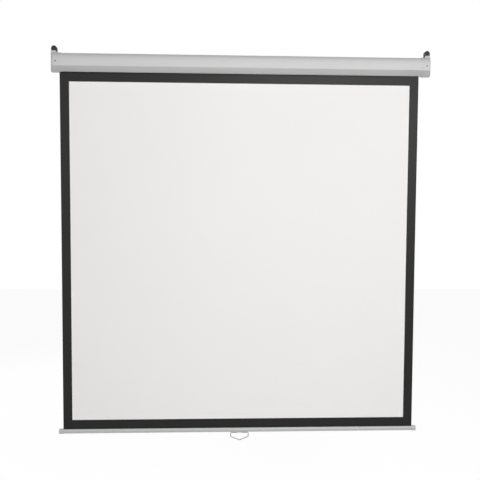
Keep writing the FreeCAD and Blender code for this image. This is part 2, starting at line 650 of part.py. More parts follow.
# Ratchet wheel on the shaft, and two pawls on the roller
def make_ratchet():
    wheel = stepped("ratchet_wheel", [(pawl_start, f"{pawl_start} + ratchet_thickness",
                                       "ratchet_diameter")], "shaft_diameter + 2*fit_clearance")
    notches = []
    for number in range(int(value("notch_count"))):
        wall_angle = f"(notch_wall + {number}*360/notch_count)"
        land_angle = f"({wall_angle} - notch_land)"
        clear = "(ratchet_diameter/2 + notch_clear)"
        notches.append([
            to(*round_the_roller(clear, wall_angle)),
            to(*round_the_roller("notch_floor/2", wall_angle)),
            to(*round_the_roller("notch_floor/2", land_angle)),
            to(*round_the_roller(clear, f"({land_angle} - notch_ramp)")),
        ])
    extrude(wheel, "YZ_Plane", pawl_start, "ratchet_thickness", cut=True, loops=notches)
    on_roller(wheel)
    pin_circle, arm = value("pawl_circle/2"), value("pawl_length")
    nose_circle = value("ratchet_diameter/2 + pawl_lift")
    opening = (pin_circle ** 2 + arm ** 2 - nose_circle ** 2) / (2 * pin_circle * arm)
    pins = []
    for label, pin_angle in zip(("upper_pawl", "lower_pawl"), pawl_angles):
        pin_y, pin_z = round_the_roller("pawl_circle/2", pin_angle)
        pin_place = (f"{roller_y} + {pin_y}", f"{roller_z} + {pin_z}")
        pawl = new_body(label)
        extrude(pawl, "YZ_Plane", "0", "ratchet_thickness", circles=[("0", "0", "pawl_boss")])
        extrude(pawl, "YZ_Plane", "0", "ratchet_thickness", loops=[[
            to("pawl_length", "-pawl_nose/2"), to("pawl_length", "pawl_nose/2"),
            to("0", "pawl_root/2"), to("0", "-pawl_root/2")]])
        extrude(pawl, "YZ_Plane", "0", "ratchet_thickness", cut=True,
                circles=[("0", "0", "pawl_pin + 2*running_clearance")])
        direction = value(pin_angle) + 180 - math.degrees(math.acos(opening))
        node(place(pawl, pawl_start, *pin_place, Rotation(Vector(1, 0, 0), direction)))
        head = f"({pawl_start} + ratchet_thickness + end_play)"
        pin = stepped("pawl_pin_body", [(pin_start, head, "pawl_pin"),
                                        (head, f"{head} + pawl_pin/2", "pawl_boss")])
        pins.append(place(pin, "0", *pin_place))
    group("pawl_pins", pins)


# Wound forms
def biarc(start, start_way, stop, stop_way):
    """Two arcs that leave start along start_way and reach stop along stop_way."""
    span = stop - start
    both = start_way + stop_way
    lack = 2 * (1 - start_way.dot(stop_way))
    reach = (math.sqrt(span.dot(both) ** 2 + lack * span.dot(span)) - span.dot(both)) / lack
    middle = (start + start_way * reach + stop - stop_way * reach) / 2
    return [arc_leaving(start, start_way, middle), arc_leaving(stop, -stop_way, middle, backwards=True)]


def arc_leaving(start, way, stop, backwards=False):
    chord = stop - start
    along = Vector(chord).normalize()
    aside = way - along * way.dot(along)
    angle = math.atan2(aside.Length, way.dot(along))
    crown = start + chord / 2 + aside.normalize() * (chord.Length / 2 * math.tan(angle / 2))
    ends = (stop, crown, start) if backwards else (start, crown, stop)
    return Part.Arc(*ends).toShape()


def least_gap(points, apart, thickness):
    """The least gap between stretches of a wound line that lie at least so many points apart."""
    nearest = min((points[late] - points[early]).Length for early in range(len(points))
                  for late in range(early + apart, len(points)))
    return round(nearest - thickness, 2)


def make_winding_spring():
    """Open helix between the two anchors, its ends bent along the shaft to meet them."""
    tang = value("spring_tang")
    left = value(moving_anchor_right) + value("end_play")
    right = value(fixed_anchor_left)
    radius = value("spring_diameter/2")
    turns = value("spring_turns")
    wire_size = value("spring_wire")
    first = left + tang
    rise = right - left - 2 * tang
    halves = int(turns * 2)

    def point(share):
        angle = 2 * math.pi * turns * share
        return Vector(first + rise * share, radius * math.cos(angle), radius * math.sin(angle))

    def way(share):
        angle = 2 * math.pi * turns * share
        swing = 2 * math.pi * turns * radius
        return Vector(rise, -swing * math.sin(angle), swing * math.cos(angle)).normalize()

    axis = Vector(1, 0, 0)
    bend = tang - wire_size
    entry = point(0) - way(0) * bend
    leaving = point(1) + way(1) * bend
    entry.x = left + wire_size
    leaving.x = right - wire_size
    start = Vector(left, entry.y, entry.z)
    stop = Vector(right, leaving.y, leaving.z)
    edges = [Part.LineSegment(start, entry).toShape()]
    edges += biarc(entry, axis, point(0), way(0))
    for half in range(halves):
        here = half / halves
        there = (half + 1) / halves
        edges += biarc(point(here), way(here), point(there), way(there))
    edges += biarc(point(1), way(1), leaving, axis)
    edges.append(Part.LineSegment(leaving, stop).toShape())
    rim = Part.Circle(start, axis, wire_size / 2)
    flats = int(value("spring_flats"))
    corners = [rim.value(2 * math.pi * flat / flats) for flat in range(flats)]
    spring = Part.Wire(edges).makePipeShell([Part.makePolygon(corners + corners[:1])], True, False)
    samples = [point(number / (halves * SAMPLES)) for number in range(halves * SAMPLES + 1)]
    print("winding spring: least gap", least_gap(samples, SAMPLES, wire_size), "mm")
    shaped("winding_spring", spring, Placement(Vector(0, value(roller_y), value(roller_z)), Rotation()))


def make_fabric_wrap():
    """The fabric left on the roller: a spiral of half turns, its outer end at the rear."""
    pitch = value(wrap_pitch)
    half = value("fabric_thickness/2")
    outer = value(wrap_outer)
    turns = value("wrap_turns")

    def point(share, offset):
        angle = 2 * math.pi * turns * share
        reach = outer - pitch * turns * share + offset
        return Vector(value(fabric_x) - value(fabric_half), reach * math.cos(angle),
                      reach * math.sin(angle))

    thirds = int(math.ceil(turns * 3))

    def side(offset):
        edges = []
        for third in range(thirds):
            shares = [(third + part) / thirds for part in (0, 0.5, 1)]
            edges.append(Part.Arc(*[point(share, offset) for share in shares]).toShape())
        return edges

    ends = [Part.LineSegment(point(share, -half), point(share, half)).toShape() for share in (0, 1)]
    edges = side(half) + side(-half) + ends
    face = Part.Face(Part.Wire(Part.__sortEdges__(edges)))
    wrap = face.extrude(Vector(2 * value(fabric_half), 0, 0))
    samples = [point(number / (thirds * SAMPLES), 0) for number in range(thirds * SAMPLES + 1)]
    print("fabric wrap: least gap", least_gap(samples, 2 * SAMPLES, 2 * half), "mm")
    shaped("fabric_wrap", wrap, Placement(Vector(0, value(roller_y), value(roller_z)), Rotation()))


# Fabric and bottom bar
def make_fabric():
    fabric = document.addObject("Part::Box", "screen_fabric")
    fabric.Label = "screen_fabric"
    foot = f"({bar_top} - keder_drop)"
    fabric.setExpression("Length", bound(f"2*{fabric_half}"))
    fabric.setExpression("Width", bound("fabric_thickness"))
    fabric.setExpression("Height", bound(f"{roller_z} - {foot}"))
    node(place(fabric, f"{fabric_x} - {fabric_half}", f"{fabric_y} - fabric_thickness/2", foot))
    keder = stepped("fabric_keder", [(f"{fabric_x} - {fabric_half}", f"{fabric_x} + {fabric_half}",
                                      "keder_diameter")])
    extrude(keder, "YZ_Plane", f"{fabric_x} - {fabric_half}", f"2*{fabric_half}", cut=True,
            loops=[rectangle("-keder_slit/2", "keder_slit/2", "-fit_clearance", "keder_diameter")])
    node(place(keder, "0", fabric_y, foot))


def bar_outline(proud="0"):
    """Six-sided bar section with a ridge along its front and back."""
    top = f"({bar_top} + {proud})"
    base = f"({bar_base} - {proud})"
    high = f"({bar_top} - bar_ridge)"
    low = f"({high} - bar_land)"
    crown, ridge, foot = [f"({depth}/2 + {proud})" for depth in
                          ("bar_top_depth", "bar_depth", "bar_base_depth")]
    return [to(f"{fabric_y} + {foot}", base), to(f"{fabric_y} + {ridge}", low),
            to(f"{fabric_y} + {ridge}", high), to(f"{fabric_y} + {crown}", top),
            to(f"{fabric_y} - {crown}", top), to(f"{fabric_y} - {ridge}", high),
            to(f"{fabric_y} - {ridge}", low), to(f"{fabric_y} - {foot}", base)]


def bar_hollow(clearance="0"):
    half = f"(bar_base_depth/2 - bar_side - {clearance})"
    roof = f"({bar_top} - keder_drop - keder_bore/2 - bar_floor - {clearance})"
    return rectangle(f"{fabric_y} - {half}", f"{fabric_y} + {half}",
                     f"{bar_base} + bar_floor + {clearance}", roof)


def make_bottom_bar():
    body = new_body("bottom_bar")
    bar_left = f"({fabric_x} - {fabric_half})"
    bar_length = f"(2*{fabric_half})"
    extrude(body, "YZ_Plane", bar_left, bar_length, loops=[bar_outline()])
    long_edge = value(bar_length) - NEAR
    round_edges(body, "bar_edge", lambda edge: edge.Length > long_edge)
    extrude(body, "YZ_Plane", bar_left, bar_length, cut=True, loops=[bar_hollow()])
    channel = f"({bar_top} - keder_drop)"
    extrude(body, "YZ_Plane", bar_left, bar_length, cut=True,
            circles=[(fabric_y, channel, "keder_bore")])
    extrude(body, "YZ_Plane", bar_left, bar_length, cut=True,
            loops=[rectangle(f"{fabric_y} - keder_mouth/2", f"{fabric_y} + keder_mouth/2",
                             channel, f"{bar_top} + keder_mouth")])
    extrude(body, "XY_Plane", f"{bar_base} - bar_floor", "2*bar_floor", cut=True,
            circles=[(along, rivet_y, "rivet_shank + 2*fit_clearance") for along in rivet_places])
    node(body)
    cap = new_body("right_bar_cap")
    cap_start = f"({fabric_x} + {fabric_half})"
    extrude(cap, "YZ_Plane", cap_start, "bar_cap_length", loops=[bar_outline("bar_cap_proud")])
    tip = value(f"{cap_start} + bar_cap_length") - NEAR
    round_edges(cap, "bar_cap_round", lambda edge: edge.BoundBox.XMin > tip)
    extrude(cap, "YZ_Plane", f"{cap_start} - bar_spigot", "bar_spigot + fit_clearance",
            loops=[bar_hollow("fit_clearance")])
    node(cap)
    mirrored(cap, "left_bar_cap", fabric_x)


# Pull handle in two riveted clips
def make_handle_clips():
    inner = "(wire_diameter/2 + clip_clearance)"
    outer = clip_outer
    clip = new_body("right_handle_clip")
    extrude(clip, "YZ_Plane", f"{fabric_x} + {clip_offset} - clip_length/2", "clip_length", loops=[[
        to(f"{wire_y} + clip_foot", f"{bar_base} - clip_wall"),
        to(f"{wire_y} + {outer}", f"{bar_base} - clip_wall"),
        to(f"{wire_y} + {outer}", wire_z),
        turn(wire_y, wire_z, f"{wire_y} - {outer}", wire_z, left=False),
        to(f"{wire_y} - {outer}", bar_base),
        to(f"{wire_y} - {inner}", bar_base),
        to(f"{wire_y} - {inner}", wire_z),
        turn(wire_y, wire_z, f"{wire_y} + {inner}", wire_z),
        to(f"{wire_y} + {inner}", bar_base),
        to(f"{wire_y} + clip_foot", bar_base),
    ]])
    extrude(clip, "XY_Plane", f"{bar_base} - 2*clip_wall", "3*clip_wall", cut=True,
            circles=[(along, rivet_y, "rivet_shank + 2*fit_clearance") for along in rivet_places[:2]])
    node(clip)
    mirrored(clip, "left_handle_clip", fabric_x)
    rivets = []
    for along in rivet_places:
        rivet = stepped("clip_rivet", [("-rivet_head_height", "0", "rivet_head"),
                                       ("0", "rivet_reach", "rivet_shank")])
        rivets.append(place(rivet, along, rivet_y, f"{bar_base} - clip_wall",
                            Rotation(Vector(0, 1, 0), -90)))
    group("clip_rivets", rivets)


def rounded_loop(points, radius):
    """A closed wire through the points, every corner bent to the same radius."""
    bends = []
    for index, corner in enumerate(points):
        back = (points[index - 1] - corner).normalize()
        ahead = (points[(index + 1) % len(points)] - corner).normalize()
        half = back.getAngle(ahead) / 2
        reach = radius / math.tan(half)
        centre_way = (back + ahead).normalize()
        crown = corner + centre_way * (radius / math.sin(half) - radius)
        bends.append((corner + back * reach, crown, corner + ahead * reach))
    edges = []
    for index, (start, crown, stop) in enumerate(bends):
        edges.append(Part.Arc(start, crown, stop).toShape())
        edges.append(Part.LineSegment(stop, bends[(index + 1) % len(bends)][0]).toShape())
    return edges


def make_pull_handle():
    half = value("handle_width/2")
    side = value("handle_side")
    drop = value("handle_drop")
    corners = [(half, 0), (half, -side), (0, -drop), (-half, -side), (-half, 0)]
    edges = rounded_loop([Vector(along, 0, up) for along, up in corners], value("handle_bend"))
    start = edges[-1].Vertexes[0].Point
    section = Part.Wire([Part.Circle(start, Vector(1, 0, 0), value("wire_diameter/2")).toShape()])
    handle = Part.Wire(edges[-1:] + edges[:-1]).makePipeShell([section], True, False)
    shaped("pull_handle", handle,
           Placement(Vector(value(fabric_x), value(wire_y), value(wire_z)), Rotation()))


def check_document():
    """Stop before anything is written if any feature or any piece is not sound."""
    document.recompute()
    for item in document.Objects:
        if "Invalid" in item.State or "Error" in item.State:
            raise RuntimeError(f"{item.Label} failed: {item.State}")
    for label, item in NODES.items():
        shape = item.Shape
        if shape.isNull() or not shape.isValid() or shape.Volume <= 0:
            raise RuntimeError(f"{label} has no sound shape")


make_case_shell()
make_end_caps()
make_hangers()
make_bearing_plates()
make_case_screws()
make_roller()
make_spring_shaft()
make_ratchet()
make_winding_spring()
make_fabric_wrap()
make_fabric()
make_bottom_bar()
make_handle_clips()
make_pull_handle()
check_document()
os.makedirs("parts", exist_ok=True)
for label, item in NODES.items():
    item.Shape.exportStep(f"parts/{label}.step")
print(len(NODES), "pieces written")
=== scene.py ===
import json
import math

import bpy
from mathutils import Matrix, Vector


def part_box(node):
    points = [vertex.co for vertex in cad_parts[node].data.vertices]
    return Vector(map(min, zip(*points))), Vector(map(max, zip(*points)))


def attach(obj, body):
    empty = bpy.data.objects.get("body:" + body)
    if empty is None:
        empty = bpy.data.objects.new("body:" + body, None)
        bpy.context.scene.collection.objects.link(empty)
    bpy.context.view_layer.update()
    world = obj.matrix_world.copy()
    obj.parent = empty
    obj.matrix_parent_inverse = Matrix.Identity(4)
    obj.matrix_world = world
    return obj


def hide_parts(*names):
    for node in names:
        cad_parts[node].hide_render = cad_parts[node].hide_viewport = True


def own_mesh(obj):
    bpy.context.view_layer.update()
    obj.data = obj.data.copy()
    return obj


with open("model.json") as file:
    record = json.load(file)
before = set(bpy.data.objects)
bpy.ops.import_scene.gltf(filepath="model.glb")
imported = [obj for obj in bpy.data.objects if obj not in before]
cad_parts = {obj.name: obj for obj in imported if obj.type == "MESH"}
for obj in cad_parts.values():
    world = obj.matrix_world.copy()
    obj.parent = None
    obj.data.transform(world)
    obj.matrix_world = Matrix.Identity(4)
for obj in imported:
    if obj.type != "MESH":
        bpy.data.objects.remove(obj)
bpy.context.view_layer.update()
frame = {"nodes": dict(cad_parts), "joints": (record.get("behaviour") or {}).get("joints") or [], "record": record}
nodes = frame["nodes"]
print("frame loaded:", len(nodes), "pieces")


class Value:  # a socket that can be used in sums
    def __init__(self, graph, socket):
        self.graph = graph
        self.socket = socket

    def maths(self, operation, other, swapped=False):
        pair = (other, self) if swapped else (self, other)
        return self.graph.node("ShaderNodeMath", {"operation": operation}, dict(enumerate(pair)))

    def __add__(self, other):
        return self.maths("ADD", other)

    def __radd__(self, other):
        return self.maths("ADD", other)

    def __sub__(self, other):
        return self.maths("SUBTRACT", other)

    def __rsub__(self, other):
        return self.maths("SUBTRACT", other, True)

    def __mul__(self, other):
        return self.maths("MULTIPLY", other)

    def __rmul__(self, other):
        return self.maths("MULTIPLY", other)

    def __gt__(self, other):
        return self.maths("GREATER_THAN", other)


class Graph:  # a node tree, one call for each node
    def __init__(self, tree):
        self.tree = tree

    def node(self, kind, settings=None, inputs=None, output=0):
        made = self.tree.nodes.new(kind)
        for key, amount in (settings or {}).items():
            setattr(made, key, amount)
        for key, amount in (inputs or {}).items():
            self.feed(made.inputs[key], amount)
        return Value(self, made.outputs[output])

    def feed(self, socket, amount):
        if isinstance(amount, Value):
            self.tree.links.new(amount.socket, socket)
        else:
            socket.default_value = amount


rimSet = {"samples": 6, "gain": 4.0}


class Finish(Graph):  # one material with its principled shader
    def __init__(self, name, fixed=None):
        self.material = bpy.data.materials.new(name)
        self.material.use_nodes = True
        super().__init__(self.material.node_tree)
        self.shader = self.tree.nodes["Principled BSDF"]
        self.use(fixed or {})

    def use(self, inputs):
        for key, amount in inputs.items():
            self.feed(self.shader.inputs[key], amount)
        return self.material

    def place(self, scale=(1, 1, 1), output="Object"):
        point = self.node("ShaderNodeTexCoord", output=output)
        return self.node("ShaderNodeMapping", {}, {"Vector": point, "Scale": scale})

    def noise(self, scale, detail=3.0, roughness=0.5, vector=None):
        vector = vector or self.place()
        inputs = {"Vector": vector, "Scale": scale, "Detail": detail, "Roughness": roughness}
        return self.node("ShaderNodeTexNoise", {}, inputs)

    def between(self, share, low, high):
        inputs = {0: share, 6: low, 7: high}  # factor and the two colour sockets
        return self.node("ShaderNodeMix", {"data_type": "RGBA"}, inputs, output=2)

    def bump(self, height, distance, strength, normal=None):
        inputs = {"Height": height, "Distance": distance, "Strength": strength}
        if normal:
            inputs["Normal"] = normal
        return self.node("ShaderNodeBump", {}, inputs)

    def rim(self, radius):  # near 1 along edges, with the eased normal that lights them
        eased = self.node("ShaderNodeBevel", {"samples": rimSet["samples"]}, {"Radius": radius})
        flat = self.node("ShaderNodeNewGeometry", output="Normal")
        match = self.node("ShaderNodeVectorMath", {"operation": "DOT_PRODUCT"}, {0: eased, 1: flat},
                          output="Value")
        return (1.0 - match) * rimSet["gain"], eased


def grey(level, warm=0.0):
    return (level + 2 * warm, level, level - warm, 1.0)


def tones(shade, shares, warm=0.0):
    return [grey(min(1.0, shade * share), warm) for share in shares]


def addObject(name, data):
    made = bpy.data.objects.new(name, data)
    bpy.context.scene.collection.objects.link(made)
    return made


# camera of the photograph, set against the white square
cameraSet = {"spot": (-0.1267, -2.8666, -0.6828), "yaw": -0.0415, "pitch": -0.0570, "roll": -0.0050,
             "lens": 47.16, "sensor": 36.0, "reach": 100.0}


def makeCamera():
    data = bpy.data.cameras.new("photoCamera")
    data.sensor_width = cameraSet["sensor"]
    data.sensor_fit = "HORIZONTAL"
    data.lens = cameraSet["lens"]
    data.clip_end = cameraSet["reach"]
    camera = addObject("photoCamera", data)
    turn = (Matrix.Rotation(cameraSet["yaw"], 3, "Z") @ Matrix.Rotation(cameraSet["pitch"], 3, "X")
            @ Matrix.Rotation(cameraSet["roll"], 3, "Y"))
    right, forward, up = (turn.col[index] for index in range(3))
    axes = Matrix((right, up, -forward)).transposed()
    camera.matrix_world = Matrix.Translation(cameraSet["spot"]) @ axes.to_4x4()
    bpy.context.scene.camera = camera


makeCamera()
print("camera set")

# each lamp: spot, size across, watts
lightSet = {"front": ((0.9, -3.3, 0.1), 2.0, 72.0), "left": ((-2.4, -4.0, -0.4), 3.0, 29.0),
            "below": ((0.2, -2.6, -2.1), 1.6, 2.0), "rear": ((-1.2, 3.4, 0.6), 3.0, 32.0)}
airSet = {"aim": (0.0, 0.0, -0.9), "light": 0.23, "seen": 1.0}
floorSet = {"height": -2.3, "half": 9.0, "shade": 0.86, "rough": 0.9, "glow": 0.78, "white": 1.16}


def sightOf(graph):  # 1 for what the camera, a mirror or glass sees
    sight = graph.node("ShaderNodeLightPath", output="Is Camera Ray")
    for ray in ("Is Glossy Ray", "Is Transmission Ray"):
        sight = sight.maths("MAXIMUM", graph.node("ShaderNodeLightPath", output=ray))
    return sight


def makeLights():
    aim = Vector(airSet["aim"])
    for name, (spot, size, power) in lightSet.items():
        data = bpy.data.lights.new(name + "Light", "AREA")
        data.shape = "DISK"
        data.size = size
        data.energy = power
        lamp = addObject(name + "Light", data)
        lamp.location = spot
        lamp.rotation_euler = (aim - Vector(spot)).to_track_quat("-Z", "Y").to_euler()
    world = bpy.data.worlds.new("studioAir")
    bpy.context.scene.world = world
    world.use_nodes = True
    world.node_tree.nodes.clear()
    air = Graph(world.node_tree)
    light, seen = (air.node("ShaderNodeBackground", {}, {"Color": grey(1.0), "Strength": airSet[key]})
                   for key in ("light", "seen"))
    mix = air.node("ShaderNodeMixShader", {}, {0: sightOf(air), 1: light, 2: seen})
    air.feed(air.tree.nodes.new("ShaderNodeOutputWorld").inputs["Surface"], mix)


def makeFloor():
    half, height = floorSet["half"], floorSet["height"]
    corners = [(-half, -half, height), (half, -half, height), (half, half, height), (-half, half, height)]
    mesh = bpy.data.meshes.new("floor")
    mesh.from_pydata(corners, [], [(0, 1, 2, 3)])
    paint = Finish("paleFloor", {"Base Color": grey(floorSet["shade"]), "Roughness": floorSet["rough"]})
    plain = Value(paint, paint.shader.outputs["BSDF"])
    glow = paint.node("ShaderNodeEmission", {}, {"Strength": floorSet["white"]})
    share = sightOf(paint) * floorSet["glow"]
    above = paint.node("ShaderNodeMixShader", {}, {0: share, 1: plain, 2: glow})
    below = paint.node("ShaderNodeBsdfTransparent")
    under = paint.node("ShaderNodeNewGeometry", output="Backfacing")
    mix = paint.node("ShaderNodeMixShader", {}, {0: under, 1: above, 2: below})
    paint.feed(paint.tree.nodes["Material Output"].inputs["Surface"], mix)
    mesh.materials.append(paint.material)
    addObject("floor", mesh)


makeLights()
makeFloor()
bpy.context.scene.view_settings.view_transform = "Standard"
print("studio lit")

# satin paint on the case, with faint roll lines and orange peel
paintSet = {"gloss": 0.15, "rough": 0.46, "cloud": 2.3, "rollLines": (0.6, 240, 240), "wear": 160.0,
            "peel": 950.0, "peelDepth": 0.00006, "edge": 0.0008,
            "tones": (0.965, 1.02), "lineTone": 0.94, "rubbedTone": 1.3}


def paintedSheet(name, shade):
    paint = Finish(name, {"Specular IOR Level": paintSet["gloss"]})
    drift = paint.noise(paintSet["cloud"], 2.0)
    lines = paint.noise(1.0, 4.0, 0.6, paint.place(paintSet["rollLines"]))
    cloud = paint.between(drift, *tones(shade, paintSet["tones"]))
    colour = paint.between(lines * 0.35, cloud, grey(shade * paintSet["lineTone"]))
    edge, eased = paint.rim(paintSet["edge"])
    rubbed = edge * (0.2 + 0.6 * paint.noise(paintSet["wear"], 4.0))
    colour = paint.between(rubbed, colour, grey(shade * paintSet["rubbedTone"]))
    rolled = paint.bump(lines, paintSet["peelDepth"] * 2, 0.25, eased)
    peel = paint.bump(paint.noise(paintSet["peel"], 2.0), paintSet["peelDepth"], 0.35, rolled)
    return paint.use({"Base Color": colour, "Roughness": paintSet["rough"] + 0.16 * drift, "Normal": peel})


# moulded plastic, with a fine grain and scuffs
plasticSet = {"flow": 14.0, "grain": 1500.0, "grainDepth": 0.00008, "scuffs": 85.0, "scuffFrom": 0.66,
              "edge": 0.0007, "tones": (0.95, 1.04), "scuffTone": 1.25, "scuffLift": 0.02}


def mouldedPlastic(name, shade, rough, warm=0.0, gloss=0.5):
    plastic = Finish(name, {"Specular IOR Level": gloss})
    flow = plastic.noise(plasticSet["flow"])
    grain = plastic.noise(plasticSet["grain"], 2.0)
    worn = plastic.noise(plasticSet["scuffs"], 4.0, 0.65)
    base = plastic.between(flow, *tones(shade, plasticSet["tones"], warm))
    edge, eased = plastic.rim(plasticSet["edge"])
    scuff = (worn > plasticSet["scuffFrom"]) * 0.2 + edge * worn * 0.5
    pale = min(1.0, shade * plasticSet["scuffTone"] + plasticSet["scuffLift"])
    colour = plastic.between(scuff, base, grey(pale, warm))
    return plastic.use({"Base Color": colour, "Roughness": rough + 0.12 * (grain - 0.5) + 0.08 * scuff,
                        "Normal": plastic.bump(grain, plasticSet["grainDepth"], 0.5, eased)})


# plated or bare steel, with zinc flakes and brushing
steelSet = {"flakes": 420.0, "brush": 120.0, "brushDepth": 0.00004, "edge": 0.0003, "tones": (0.86, 1.1)}


def platedSteel(name, shade, rough, grain=(1, 1, 1), metal=1.0):
    steel = Finish(name, {"Metallic": metal})
    flakes = steel.node("ShaderNodeTexVoronoi", {}, {"Vector": steel.place(), "Scale": steelSet["flakes"]},
                        output="Color")
    tone = steel.node("ShaderNodeSeparateColor", {}, {0: flakes})
    brush = steel.noise(steelSet["brush"], 5.0, 0.6, steel.place(grain))
    edge, eased = steel.rim(steelSet["edge"])
    share = 0.35 * tone + 0.4 * brush + 0.3 * edge
    colour = steel.between(share, *tones(shade, steelSet["tones"]))
    return steel.use({"Base Color": colour, "Roughness": rough + 0.14 * brush,
                      "Normal": steel.bump(brush, steelSet["brushDepth"], 0.4, eased)})


# anodised extrusion of the bottom bar, with its drawing lines
anodisedSet = {"rough": 0.46, "drawLines": (0.9, 700, 700), "drawDepth": 0.00005, "haze": 3.1, "edge": 0.0005,
               "tones": (0.92, 1.06)}


def anodisedBar(name, shade):
    metal = Finish(name)
    draw = metal.noise(1.0, 5.0, 0.65, metal.place(anodisedSet["drawLines"]))
    haze = metal.noise(anodisedSet["haze"], 2.0)
    edge, eased = metal.rim(anodisedSet["edge"])
    share = 0.6 * draw + 0.3 * haze + 0.4 * edge
    colour = metal.between(share, *tones(shade, anodisedSet["tones"]))
    return metal.use({"Base Color": colour, "Metallic": 0.06 + 0.08 * haze,
                      "Roughness": anodisedSet["rough"] + 0.16 * draw,
                      "Normal": metal.bump(draw, anodisedSet["drawDepth"], 0.5, eased)})


# coated screen cloth: band is one wave of the wave texture at scale 1, in metres
weaveSet = {"band": 0.3142, "stray": 0.6, "bead": 2600.0, "drift": 1.7, "relief": 0.00005,
            "tones": (0.975, 1.015), "gapShadeTone": 0.86}


def coatedCloth(name, shade, rough, gloss=0.5, pitch=0.0009, warm=0.0):
    cloth = Finish(name, {"Specular IOR Level": gloss})
    spot = cloth.place(output="UV")
    thread = {"Vector": spot, "Scale": weaveSet["band"] / pitch, "Distortion": weaveSet["stray"],
              "Detail": 1.0, "Detail Scale": 0.4}
    across, along = (cloth.node("ShaderNodeTexWave", {"bands_direction": way}, thread, output="Fac")
                     for way in ("X", "Y"))
    weave = across * along
    bead = cloth.noise(weaveSet["bead"], 2.0, 0.5, spot)
    drift = cloth.noise(weaveSet["drift"], 3.0, 0.5, spot)
    soft = cloth.between(drift, *tones(shade, weaveSet["tones"], warm))
    # painted shade: the weave's low points between the threads are darkened
    colour = cloth.between(0.16 * (1 - weave), soft, grey(shade * weaveSet["gapShadeTone"], warm))
    height = 0.7 * weave + 0.3 * bead
    return cloth.use({"Base Color": colour, "Roughness": rough + 0.08 * (bead - 0.5),
                      "Normal": cloth.bump(height, weaveSet["relief"], 0.5)})


finishes = {
    "case_paint": paintedSheet("casePaint", 0.635),
    "cap_plastic": mouldedPlastic("capPlastic", 0.61, 0.5, gloss=0.15),
    "hanger_plastic": mouldedPlastic("hangerPlastic", 0.022, 0.5, gloss=0.25),
    "screw_steel": platedSteel("screwZinc", 0.16, 0.34),
    "plate_steel": platedSteel("plateZinc", 0.38, 0.4, (1, 4, 1)),
    "roller_steel": platedSteel("rollerTube", 0.36, 0.4, (1, 60, 60)),
    "spring_steel": platedSteel("springWire", 0.16, 0.36),
    "shaft_steel": platedSteel("drawnRod", 0.34, 0.32, (1, 40, 40)),
    "plug_plastic": mouldedPlastic("plugPlastic", 0.2, 0.5),
    "bush_plastic": mouldedPlastic("nylonBush", 0.8, 0.42, 0.012),
    "ratchet_steel": platedSteel("sinteredSteel", 0.2, 0.5),
    "screen_cloth": coatedCloth("screenWhite", 0.875, 0.82, warm=0.008),
    "keder_plastic": mouldedPlastic("kederRod", 0.75, 0.4, 0.01),
    "bar_aluminium": anodisedBar("barAnodised", 0.5),
    "bar_cap_plastic": mouldedPlastic("barCapPlastic", 0.52, 0.44),
    "clip_steel": platedSteel("clipZinc", 0.3, 0.4, (4, 1, 1)),
    "handle_wire": platedSteel("handleWire", 0.32, 0.36, (40, 40, 40), 0.9),
}
borderCloth = coatedCloth("screenBorder", 0.0085, 0.44, 0.22)
backCloth = coatedCloth("screenBacking", 0.03, 0.7, 0.4, 0.0012)

for part in frame["record"]["subparts"]:
    mesh = nodes[part["node"]].data
    mesh.materials.clear()
    mesh.materials.append(finishes[part["material_slot"]])
print("finishes on", len(nodes), "pieces")

creaseSet = {"cloth": 40, "fitting": 32}  # sharper edges than this stay hard, in degrees


def addPiece(name, mesh, body, stoodFor):
    piece = addObject(name, mesh)
    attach(piece, body)
    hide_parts(stoodFor)
    return piece


def smoothed(mesh, crease):
    mesh.shade_smooth()
    mesh.set_sharp_from_angle(angle=math.radians(crease))


def mapFlat(mesh, flatSpot):  # UV map in metres of the flat cloth
    flatMap = mesh.uv_layers.new(name="cut")
    for loop in mesh.loops:
        flatMap.data[loop.index].uv = flatSpot(loop.vertex_index)


# screen fabric: white square, dark border, dark backing
clothSet = {"view": 1.524, "topBorder": 0.0414, "borderSteps": 5, "viewSteps": 64, "hiddenSteps": 5,
            "hemSteps": 2, "edgeCurl": 0.0022, "curlPower": 6, "ripple": 0.0007, "broadWave": 7.3,
            "fineWave": 13.1, "fineShare": 0.6, "sway": 0.6, "swayWave": 5.0, "slant": 2.2}


def spread(start, stop, steps):
    return [start + (stop - start) * step / steps for step in range(steps)]


# a closed thin sheet, its front white or border, its back dark
def layCloth(name, columns, rows, shift, thick, isView):
    wide, count = len(columns), len(columns) * len(rows)
    points, faces, indices = [], [], []
    for side in (-0.5, 0.5):
        for z in rows:
            points += [(x, shift(x, z) + side * thick, z) for x in columns]
    for row in range(len(rows) - 1):
        for column in range(wide - 1):
            corner = row * wide + column
            square = (corner + wide, corner + wide + 1, corner + 1, corner)
            centre = [(points[square[0]][axis] + points[square[2]][axis]) / 2 for axis in (0, 2)]
            faces += [square, tuple(count + index for index in reversed(square))]
            indices += [0 if isView(*centre) else 1, 2]
    rim = (list(range(wide)) + [row * wide + wide - 1 for row in range(1, len(rows))]
           + [count - 2 - step for step in range(wide - 1)]
           + [row * wide for row in range(len(rows) - 2, 0, -1)])
    for here, there in zip(rim, rim[1:] + rim[:1]):
        faces.append((here, there, there + count, here + count))
        indices.append(1)
    mesh = bpy.data.meshes.new(name)
    mesh.from_pydata(points, [], faces)
    for material in (finishes["screen_cloth"], borderCloth, backCloth):
        mesh.materials.append(material)
    mesh.polygons.foreach_set("material_index", indices)

    def flatSpot(vertex):
        spot = mesh.vertices[vertex].co
        return spot.x - columns[0], spot.z

    mapFlat(mesh, flatSpot)
    smoothed(mesh, creaseSet["cloth"])
    size = (columns[-1] - columns[0], rows[0] - rows[-1])
    print(name + ":", len(faces), "faces, flat", round(size[0], 4), "by", round(size[1], 4))
    return addPiece(name, mesh, "drop", "screen_fabric"), size


